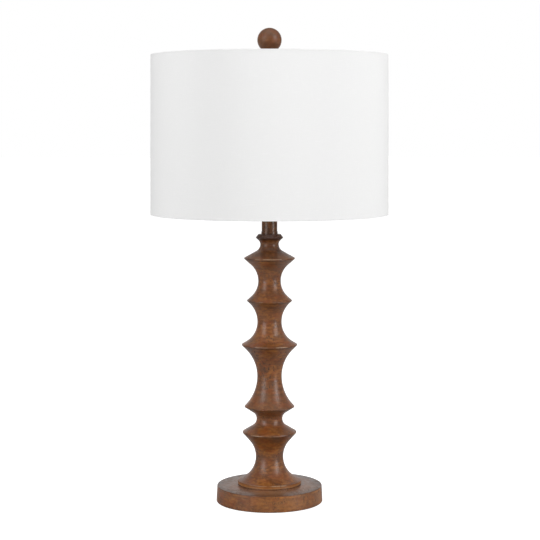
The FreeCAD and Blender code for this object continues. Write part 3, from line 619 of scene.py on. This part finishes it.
neckLook = {
    "dark": (0.050, 0.020, 0.009),
    "light": (0.200, 0.074, 0.022),
    "patch": 110.0,
    "fleck": 420.0,
    "patchShare": 0.6,
    "fleckShare": 0.4,
    "polish": 0.26,
    "polishSwing": 0.1,
    "specular": 0.35,
    "coat": 0.12,
    "coatPolish": 0.12,
    "bump": (0.12, 0.0003),
}


def neckMaterial(look):
    material, tree, shader = newMaterial("neckStain")
    at = useGroup(tree, latheSpace)["Place"]
    cloud = useGroup(tree, mottle, Place=at, Patch=look["patch"], Fleck=look["fleck"])
    mix = weighted(tree, (cloud["Patches"], look["patchShare"]), (cloud["Flecks"], look["fleckShare"]))
    feed(tree, shader.inputs["Base Color"], blendColor(tree, mix, look["dark"], look["light"]))
    swing = times(tree, cloud["Flecks"], look["polishSwing"])
    feed(tree, shader.inputs["Roughness"], plus(tree, look["polish"], swing))
    shader.inputs["Coat Weight"].default_value = look["coat"]
    shader.inputs["Coat Roughness"].default_value = look["coatPolish"]
    shader.inputs["Specular IOR Level"].default_value = look["specular"]
    bumpInto(tree, shader, cloud["Flecks"], *look["bump"])
    return material


neckStain = neckMaterial(neckLook)
for name in ("neck_tube", "neck_ring"):
    dress(name, neckStain)
print("neck dressed")


# Metals and moulded pieces: tone, worn tone, polish, wear marks per metre, swing of the polish, bump

metalLooks = {
    "zincSteel": ((0.60, 0.60, 0.58), (0.42, 0.42, 0.41), 0.32, 260.0, 0.12, 0.06),
    "bronzeMetal": ((0.085, 0.052, 0.030), (0.19, 0.115, 0.06), 0.34, 180.0, 0.12, 0.06),
    "brassCasing": ((0.66, 0.45, 0.17), (0.45, 0.29, 0.11), 0.26, 150.0, 0.12, 0.06),
    "contactBrass": ((0.74, 0.55, 0.26), (0.50, 0.36, 0.16), 0.22, 300.0, 0.12, 0.06),
    "bulbMetal": ((0.56, 0.56, 0.55), (0.40, 0.40, 0.39), 0.28, 300.0, 0.12, 0.06),
    "bulbSolder": ((0.58, 0.58, 0.57), (0.38, 0.38, 0.38), 0.4, 500.0, 0.12, 0.06),
    "filamentWire": ((0.33, 0.33, 0.34), (0.2, 0.2, 0.21), 0.35, 900.0, 0.12, 0.06),
    "castIron": ((0.12, 0.12, 0.125), (0.20, 0.17, 0.15), 0.62, 120.0, 0.12, 0.06),
}

mouldedLooks = {
    "whiteEnamel": ((0.80, 0.80, 0.78), (0.70, 0.69, 0.66), 0.38, 160.0, 0.12, 0.08),
    "knobPlastic": ((0.018, 0.017, 0.016), (0.035, 0.033, 0.031), 0.24, 260.0, 0.12, 0.06),
    "socketPlastic": ((0.030, 0.028, 0.027), (0.055, 0.05, 0.047), 0.45, 260.0, 0.12, 0.1),
    "bushPlastic": ((0.085, 0.042, 0.022), (0.12, 0.065, 0.035), 0.42, 300.0, 0.12, 0.1),
    "bulbBlack": ((0.020, 0.020, 0.024), (0.045, 0.045, 0.05), 0.12, 400.0, 0.12, 0.04),
    "insulatorCard": ((0.36, 0.28, 0.18), (0.27, 0.20, 0.12), 0.7, 220.0, 0.12, 0.2),
    "linerSheet": ((0.86, 0.86, 0.85), (0.82, 0.82, 0.81), 0.5, 90.0, 0.08, 0.05),
}

finishOf = {
    "zincSteel": ["threaded_rod", "bottom_washer", "bottom_nut", "saddle_nut", "set_screw", "switch_stem"],
    "bronzeMetal": ["neck_cap", "harp_saddle", "harp_wire", "harp_sleeve_left", "harp_sleeve_right"],
    "brassCasing": ["socket_cap", "socket_shell", "harp_stud", "finial_insert"],
    "contactBrass": ["screw_shell", "centre_contact", "terminal_screws"],
    "bulbMetal": ["bulb_cap"],
    "bulbSolder": ["bulb_contact"],
    "filamentWire": ["bulb_filament"],
    "castIron": ["base_weight"],
    "whiteEnamel": ["shade_ring_top", "shade_ring_bottom", "spider", "spider_washer"],
    "knobPlastic": ["switch_knob"],
    "socketPlastic": ["socket_body"],
    "bushPlastic": ["cord_bush"],
    "bulbBlack": ["bulb_insulator"],
    "insulatorCard": ["socket_insulator"],
    "linerSheet": ["shade_liner"],
}


def plainFinish(name, look, metallic):
    tone, worn, polish, scale, swing, bump = look
    material, tree, shader = newMaterial(name)
    wear = useGroup(tree, fineWear, Place=objectPlace(tree), Scale=scale, Polish=polish, Swing=swing)
    feed(tree, shader.inputs["Base Color"], blendColor(tree, wear["Tone"], tone, worn))
    feed(tree, shader.inputs["Roughness"], wear["Roughness"])
    shader.inputs["Metallic"].default_value = metallic
    bumpInto(tree, shader, wear["Height"], bump, wearLook["depth"])
    return material


finishes = {name: plainFinish(name, look, 1.0) for name, look in metalLooks.items()}
finishes.update({name: plainFinish(name, look, 0.0) for name, look in mouldedLooks.items()})
for name, members in finishOf.items():
    for node in members:
        dress(node, finishes[name])
print("metal and moulded pieces dressed")


# Bulb glass

glassLook = {
    # Tint, how clear, roughness
    "frostedGlass": ((0.96, 0.96, 0.94), 0.75, 0.42),
    "clearGlass": ((0.93, 0.96, 0.96), 1.0, 0.03),
    "cloud": (130.0, 3.0, 0.55),
    "cloudLimits": (0.3, 0.7),
    "dim": 0.94,               # tone where it is cloudy
    "roughSwing": 0.05,
    "ior": 1.46,
}


def glassMaterial(name):
    tint, clear, rough = glassLook[name]
    material, tree, shader = newMaterial(name)
    cloud = noise(tree, objectPlace(tree), *glassLook["cloud"])
    dim = tuple(glassLook["dim"] * v for v in tint)
    feed(tree, shader.inputs["Base Color"], blendColor(tree, cloud, dim, tint))
    rougher = spread(tree, cloud, *glassLook["cloudLimits"], rough, rough + glassLook["roughSwing"])
    feed(tree, shader.inputs["Roughness"], rougher)
    shader.inputs["Transmission Weight"].default_value = clear
    shader.inputs["IOR"].default_value = glassLook["ior"]
    return material


dress("bulb_glass", glassMaterial("frostedGlass"))
dress("bulb_stem", glassMaterial("clearGlass"))
print("glass dressed")


# Linen drum

linenLook = {
    "tone": (0.830, 0.830, 0.828),
    "thread": (0.870, 0.870, 0.868),
    "gap": (0.730, 0.730, 0.730),
    "gapDepth": 0.35,
    "trimTint": 0.99,
    "drum": 0.19,              # radius over which the weave is laid out
    "threadSize": 0.0008,
    "rough": 0.92,
    "sheen": 0.15,
    "sheenRough": 0.5,
    "specular": 0.25,
    "bump": (0.35, 0.0004),
}

drumLook = {
    "columns": 288,
    "rows": 26,
    "seamAngle": math.radians(104),   # at the rear
    "lap": 0.012,                     # cloth laid over cloth at the seam
    "lapRise": 0.6,                   # share of the lap in which the cloth climbs on itself
    "lapStep": 0.0005,
    "skin": 0.0005,
}

hemLook = {
    "outer": 0.0035,                  # height of the leg outside
    "inner": 0.0060,
    "thick": 0.00022,
    "proud": 0.00006,                 # how far the outer leg stands off the drum
    "cut": (0.0001, 0.0004),          # bevel along the outer leg's cut edge
    # The fold over the wire: distance from a leg, height
    "foldOuter": [(0.0, 0.0009), (0.0005, 0.0002), (0.0013, 0.0)],
    "foldInner": [(0.0012, 0.0), (0.0003, 0.0003), (0.0, 0.0011)],
    "corner": (0.0014, 0.0011),       # inside the fold
    "waver": 0.00012,
    "waves": [(9, 0.6, 1.0), (23, 2.1, 0.6)],   # number round the drum, start, size
    "columns": 288,
}

sharpAngle = math.radians(35)
rimDepth = 0.0003              # metres from an edge in which points belong to it


def linenMaterial(name, tint=1.0):
    look = linenLook
    material, tree, shader = newMaterial(name)
    weave = useGroup(tree, linenWeave, Drum=look["drum"], Thread=look["threadSize"])
    tone, thread, gap = (tuple(tint * v for v in look[kind]) for kind in ("tone", "thread", "gap"))
    color = blendColor(tree, weave["Slubs"], tone, thread)
    color = blendColor(tree, times(tree, weave["Gaps"], look["gapDepth"]), color, gap)
    feed(tree, shader.inputs["Base Color"], color)
    shader.inputs["Roughness"].default_value = look["rough"]
    shader.inputs["Sheen Weight"].default_value = look["sheen"]
    shader.inputs["Sheen Roughness"].default_value = look["sheenRough"]
    shader.inputs["Specular IOR Level"].default_value = look["specular"]
    bumpInto(tree, shader, weave["Height"], *look["bump"])
    return material


linen = linenMaterial("linen")
linenTrim = linenMaterial("linenTrim", linenLook["trimTint"])


def meshObject(name, build):
    shape = bmesh.new()
    build(shape)
    bmesh.ops.recalc_face_normals(shape, faces=shape.faces)
    data = bpy.data.meshes.new(name)
    shape.to_mesh(data)
    shape.free()
    for face in data.polygons:
        face.use_smooth = True
    data.set_sharp_from_angle(angle=sharpAngle)
    piece = bpy.data.objects.new(name, data)
    bpy.context.scene.collection.objects.link(piece)
    return piece


def radiusAt(node, top, outer):
    # Outside or inside radius of a drum-shaped node at its upper or lower edge
    low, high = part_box(node)
    level = high.z if top else low.z
    rim = [outOf(v) for v in nodes[node].data.vertices if abs(v.co.z - level) < rimDepth]
    return max(rim) if outer else min(rim)


def turnedTo(angle, outline):
    # Points of (radius, height) at one angle round the upright axis
    way = Vector((math.cos(angle), math.sin(angle), 0))
    return [way * out + Vector((0, 0, z)) for out, z in outline]


def turnsOf(columns):
    return [tau * i / columns for i in range(columns)]


def closedStrip(shape, loops, closed):
    # Joins cross-section loops one after another; the last joins the first, or both ends are capped
    rows = [[shape.verts.new(p) for p in loop] for loop in loops]
    followers = rows[1:] + rows[:1] if closed else rows[1:]
    for a, b in zip(rows, followers):
        for i in range(len(a)):
            j = (i + 1) % len(a)
            shape.faces.new((a[i], a[j], b[j], b[i]))
    if not closed:
        shape.faces.new(rows[0])
        shape.faces.new(list(reversed(rows[-1])))


def makeLinenDrum():
    low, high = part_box("shade_fabric")
    footRadius = radiusAt("shade_fabric", False, True)
    headRadius = radiusAt("shade_fabric", True, True)
    lapTurn = drumLook["lap"] / footRadius
    rise = lapTurn * drumLook["lapRise"]

    def section(turn):
        past = max(0.0, turn - (tau - rise)) / rise
        lift = drumLook["lapStep"] * min(1.0, past)
        outside = []
        for row in range(drumLook["rows"] + 1):
            share = row / drumLook["rows"]
            out = footRadius + (headRadius - footRadius) * share + lift
            outside.append((out, low.z + (high.z - low.z) * share))
        inside = [(out - drumLook["skin"], z) for out, z in reversed(outside)]
        return turnedTo(drumLook["seamAngle"] + turn, outside + inside)

    def build(shape):
        full = tau + lapTurn
        turns = [full * i / drumLook["columns"] for i in range(drumLook["columns"] + 1)]
        closedStrip(shape, [section(t) for t in turns], False)

    drum = meshObject("linenDrum", build)
    drum.data.materials.append(linen)
    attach(drum, "shade")
    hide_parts("shade_fabric")
    flat = (tau * footRadius + drumLook["lap"], high.z - low.z)
    return drum, flat


def makeHem(name, node, top):
    look = hemLook
    low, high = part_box(node)
    edge = high.z if top else low.z
    inward = -1 if top else 1
    outerLeg = radiusAt("shade_fabric", top, True) + look["proud"]
    innerLeg = radiusAt(node, top, False)
    thick = look["thick"]
    cutIn, cutUp = look["cut"]
    cornerIn, cornerUp = look["corner"]

    def section(angle):
        waves = sum(size * math.sin(count * angle + start) for count, start, size in look["waves"])
        waver = look["waver"] * waves
        leg = look["outer"] + waver
        reach = look["inner"] + 2 * waver
        outline = [
            (outerLeg - cutIn, leg),
            (outerLeg, leg - cutUp),
            *((outerLeg - away, z) for away, z in look["foldOuter"]),
            *((innerLeg + away, z) for away, z in look["foldInner"]),
            (innerLeg, reach),
            (innerLeg + thick, reach),
            (innerLeg + thick, cornerUp),
            (innerLeg + cornerIn, thick),
            (outerLeg - cornerIn, thick),
            (outerLeg - thick, cornerUp),
            (outerLeg - thick, leg),
        ]
        return turnedTo(angle, [(out, edge + inward * z) for out, z in outline])

    def build(shape):
        closedStrip(shape, [section(t) for t in turnsOf(look["columns"])], True)

    hem = meshObject(name, build)
    hem.data.materials.append(linenTrim)
    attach(hem, "shade")
    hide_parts(node)
    return hem


linenDrum, linenFlat = makeLinenDrum()
hemTop = makeHem("hemTop", "shade_hem_top", True)
hemBottom = makeHem("hemBottom", "shade_hem_bottom", False)
print("linen drum ready, flat size", [round(v, 4) for v in linenFlat])


# Rolled and cut threads

threadLook = {
    # from and to are the heights of the thread above the piece's foot
    "bulbCap": {
        "node": "bulb_cap",
        "body": "bulb",
        "slot": "bulb_metal",
        "finish": "bulbMetal",
        "pitch": 0.00363,
        "depth": 0.00065,
        "from": 0.0010,
        "to": 0.0138,
        "columns": 72,
        "wall": 0.00035,
        "rolled": True,
    },
    "screwShell": {
        "node": "screw_shell",
        "body": "lamp",
        "slot": "contact_brass",
        "finish": "contactBrass",
        "pitch": 0.00363,
        "depth": 0.00040,
        "from": 0.0014,
        "to": 0.0192,
        "columns": 72,
        "wall": 0.0005,
        "rolled": True,
    },
    "harpStud": {
        "node": "harp_stud",
        "body": "stud",
        "slot": "brass_casing",
        "finish": "brassCasing",
        "pitch": 0.00094,
        "depth": 0.00042,
        "from": 0.0066,
        "to": 0.0200,
        "columns": 40,
        "rolled": False,
        "steps": [(0.0044, 0.0012), (0.0024, 0.0038), (0.0055, 0.0063)],   # radius, top of each step
        "tip": (0.00235, 0.0008),                                          # radius, height of its bevel
        "radius": 0.00315,
    },
}

ringsPerTurn = 8


def threadedPiece(name, rings, closed):
    # Rings hold (height above the foot, radius), from the foot up; the thread is cut into them
    look = threadLook[name]
    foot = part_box(look["node"])[0].z

    def ring(height, radius):
        runOut = min(height - look["from"], look["to"] - height) / look["pitch"]
        cut = look["depth"] * max(0.0, min(1.0, runOut))
        points = []
        for angle in turnsOf(look["columns"]):
            turn = height / look["pitch"] - angle / tau
            groove = 0.5 - 0.5 * math.cos(tau * turn) if look["rolled"] else abs(2 * (turn % 1.0) - 1)
            out = radius - cut * groove
            points.append((out * math.cos(angle), out * math.sin(angle), foot + height))
        return points

    piece = meshObject(name, lambda shape: closedStrip(shape, [ring(h, r) for h, r in rings], closed))
    piece.data.materials.append(finishes[look["finish"]])
    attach(piece, look["body"])
    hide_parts(look["node"])
    return piece


def heightsBetween(low, high, pitch):
    steps = math.ceil((high - low) * ringsPerTurn / pitch)
    return [low + (high - low) * i / steps for i in range(steps + 1)]


def rolledTube(name):
    look = threadLook[name]
    low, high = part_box(look["node"])
    levels = heightsBetween(0.0, high.z - low.z, look["pitch"])
    outside = [(h, high.x) for h in levels]
    inside = [(h, high.x - look["wall"]) for h in reversed(levels)]
    return threadedPiece(name, outside + inside, True)


def makeStud():
    look = threadLook["harpStud"]
    low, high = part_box(look["node"])
    tall = high.z - low.z
    tipOut, bevel = look["tip"]
    rings, level = [], 0.0
    for out, top in look["steps"]:
        rings += [(level, out), (top, out)]
        level = top
    rings += [(h, look["radius"]) for h in heightsBetween(level, tall - bevel, look["pitch"])]
    rings.append((tall, tipOut))
    return threadedPiece("harpStud", rings, False)


rolledTube("bulbCap")
rolledTube("screwShell")
makeStud()
print("threads cut")


# Felt under the base

feltLook = {
    "dark": (0.020, 0.018, 0.017),
    "light": (0.050, 0.046, 0.043),
    "fuzz": (1400.0, 4.0, 0.7, 0.8),
    "broad": (120.0, 3.0, 0.6),
    "fuzzShare": 0.7,
    "broadShare": 0.3,
    "limits": (0.35, 0.65),
    "rough": 0.97,
    "sheen": 0.35,
    "bump": (0.6, 0.0006),
    "columns": 160,
    "centre": 0.004,           # radius of the one face in the middle
    "round": 0.0006,
    "rounding": [(-2.0, 0.0), (-0.5, 0.4), (0.0, 1.4)],   # of the lower edge: out and up, times round
}


def feltMaterial(look):
    material, tree, shader = newMaterial("felt")
    at = objectPlace(tree)
    fuzz = noise(tree, at, *look["fuzz"])
    broad = noise(tree, at, *look["broad"])
    mix = weighted(tree, (fuzz, look["fuzzShare"]), (broad, look["broadShare"]))
    color = blendColor(tree, spread(tree, mix, *look["limits"]), look["dark"], look["light"])
    feed(tree, shader.inputs["Base Color"], color)
    shader.inputs["Roughness"].default_value = look["rough"]
    shader.inputs["Sheen Weight"].default_value = look["sheen"]
    bumpInto(tree, shader, fuzz, *look["bump"])
    return material


def makeFelt():
    look = feltLook
    low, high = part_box("felt_pad")
    radius = high.x
    soft = look["round"]
    outline = [
        (look["centre"], low.z),
        (radius * 0.5, low.z),
        *((radius + out * soft, low.z + up * soft) for out, up in look["rounding"]),
        (radius, high.z),
        (look["centre"], high.z),
    ]

    def build(shape):
        closedStrip(shape, [turnedTo(t, outline) for t in turnsOf(look["columns"])], True)
        centre = [v for v in shape.verts if outOf(v) < look["centre"] + rimDepth]
        for level in (low.z, high.z):
            ring = [v for v in centre if abs(v.co.z - level) < tiny]
            ring.sort(key=lambda v: math.atan2(v.co.y, v.co.x))
            shape.faces.new(ring)
        inner = [f for f in shape.faces if all(v in centre for v in f.verts) and len(f.verts) == 4]
        bmesh.ops.delete(shape, geom=inner, context="FACES")

    felt = meshObject("feltPad", build)
    felt.data.materials.append(feltMaterial(look))
    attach(felt, "lamp")
    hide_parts("felt_pad")
    return felt


makeFelt()
print("felt ready")


# Floor, light and camera

studioLook = {
    "floor": (0.50, 0.50, 0.50),
    "floorNoise": (3.0, 2.0),
    "floorDim": 0.99,
    "floorRough": 0.9,
    "floorSpecular": 0.1,
    "floorSize": 60,
    "floorGap": 0.0002,          # so that the felt and the floor aren't one surface
    "floorGlow": (0.03, 0.92),   # for light, for the eye
    "backdrop": 1.0,
    "ambient": 0.42,
    "strips": {
        # turn to the side of the camera in degrees, away, level, width, height, power
        "left": (-50.0, 2.0, 1.32, 1.05, 2.56, 28.0),
        "right": (58.0, 2.0, 1.32, 0.58, 2.56, 32.0),
    },
    "topPlace": (0.0, -0.3, 2.3),
    "topSize": 1.6,
    "topPower": 7.5,
    "backPlace": (0.0, 2.3, 0.62),
    "backSize": (3.4, 1.1),
    "backPower": 5.0,
}

cameraLook = {
    "lens": 102.097,
    "sensor": 36.0,
    "place": (0.0008, -2.4473, 0.6004),
    "pitch": 5.2334,             # degrees below level
}


def makeFloor():
    look = studioLook
    level = cadBounds[0][2] - look["floorGap"]
    bpy.ops.mesh.primitive_plane_add(size=look["floorSize"], location=(0, 0, level))
    floor = bpy.context.object
    floor.name = "studioFloor"
    material, tree, shader = newMaterial("paleFloor")
    uneven = noise(tree, objectPlace(tree), *look["floorNoise"])
    dim = tuple(look["floorDim"] * v for v in look["floor"])
    feed(tree, shader.inputs["Base Color"], blendColor(tree, uneven, look["floor"], dim))
    shader.inputs["Roughness"].default_value = look["floorRough"]
    shader.inputs["Specular IOR Level"].default_value = look["floorSpecular"]
    shader.inputs["Emission Color"].default_value = (1, 1, 1, 1)
    seen = tree.nodes.new("ShaderNodeLightPath").outputs["Is Camera Ray"]
    glow = spread(tree, seen, 0.0, 1.0, *look["floorGlow"], smooth=False)
    feed(tree, shader.inputs["Emission Strength"], glow)
    below = tree.nodes.new("ShaderNodeNewGeometry").outputs["Backfacing"]
    feed(tree, shader.inputs["Alpha"], minus(tree, 1.0, below))   # clear from below, to show the felt
    floor.data.materials.append(material)


def makeBackdrop():
    world = bpy.data.worlds.new("studio")
    bpy.context.scene.world = world
    world.use_nodes = True
    tree = world.node_tree
    tree.nodes.clear()
    seen = tree.nodes.new("ShaderNodeLightPath").outputs["Is Camera Ray"]
    strength = spread(tree, seen, 0.0, 1.0, studioLook["ambient"], studioLook["backdrop"], smooth=False)
    back = place(tree, "ShaderNodeBackground", {"Color": (1.0, 1.0, 1.0), "Strength": strength})
    output = tree.nodes.new("ShaderNodeOutputWorld")
    tree.links.new(back.outputs[0], output.inputs["Surface"])


def aimedLight(name, at, target, width, height, power):
    light = bpy.data.lights.new(name, "AREA")
    light.shape = "RECTANGLE"
    light.size = width
    light.size_y = height
    light.energy = power
    lamp = bpy.data.objects.new(name, light)
    bpy.context.scene.collection.objects.link(lamp)
    lamp.location = at
    lamp.rotation_euler = (Vector(target) - Vector(at)).to_track_quat("-Z", "Y").to_euler()
    lamp.visible_camera = False


def makeLights():
    look = studioLook
    for name, (turn, away, level, width, height, power) in look["strips"].items():
        angle = math.radians(turn)
        at = (math.sin(angle) * away, -math.cos(angle) * away, level)
        aimedLight(name + "Strip", at, (0, 0, level), width, height, power)
    aimedLight("topPanel", look["topPlace"], (0, 0, 0), look["topSize"], look["topSize"], look["topPower"])
    back = look["backPlace"]
    aimedLight("backPanel", back, (0, 0, back[2]), *look["backSize"], look["backPower"])


def makeCamera():
    data = bpy.data.cameras.new("studioCamera")
    data.lens = cameraLook["lens"]
    data.sensor_width = cameraLook["sensor"]
    camera = bpy.data.objects.new("studioCamera", data)
    bpy.context.scene.collection.objects.link(camera)
    camera.location = cameraLook["place"]
    camera.rotation_euler = (math.radians(90 - cameraLook["pitch"]), 0, 0)
    bpy.context.scene.camera = camera


makeFloor()
makeBackdrop()
makeLights()
makeCamera()
bpy.context.scene.view_settings.view_transform = "Standard"
print("studio ready")
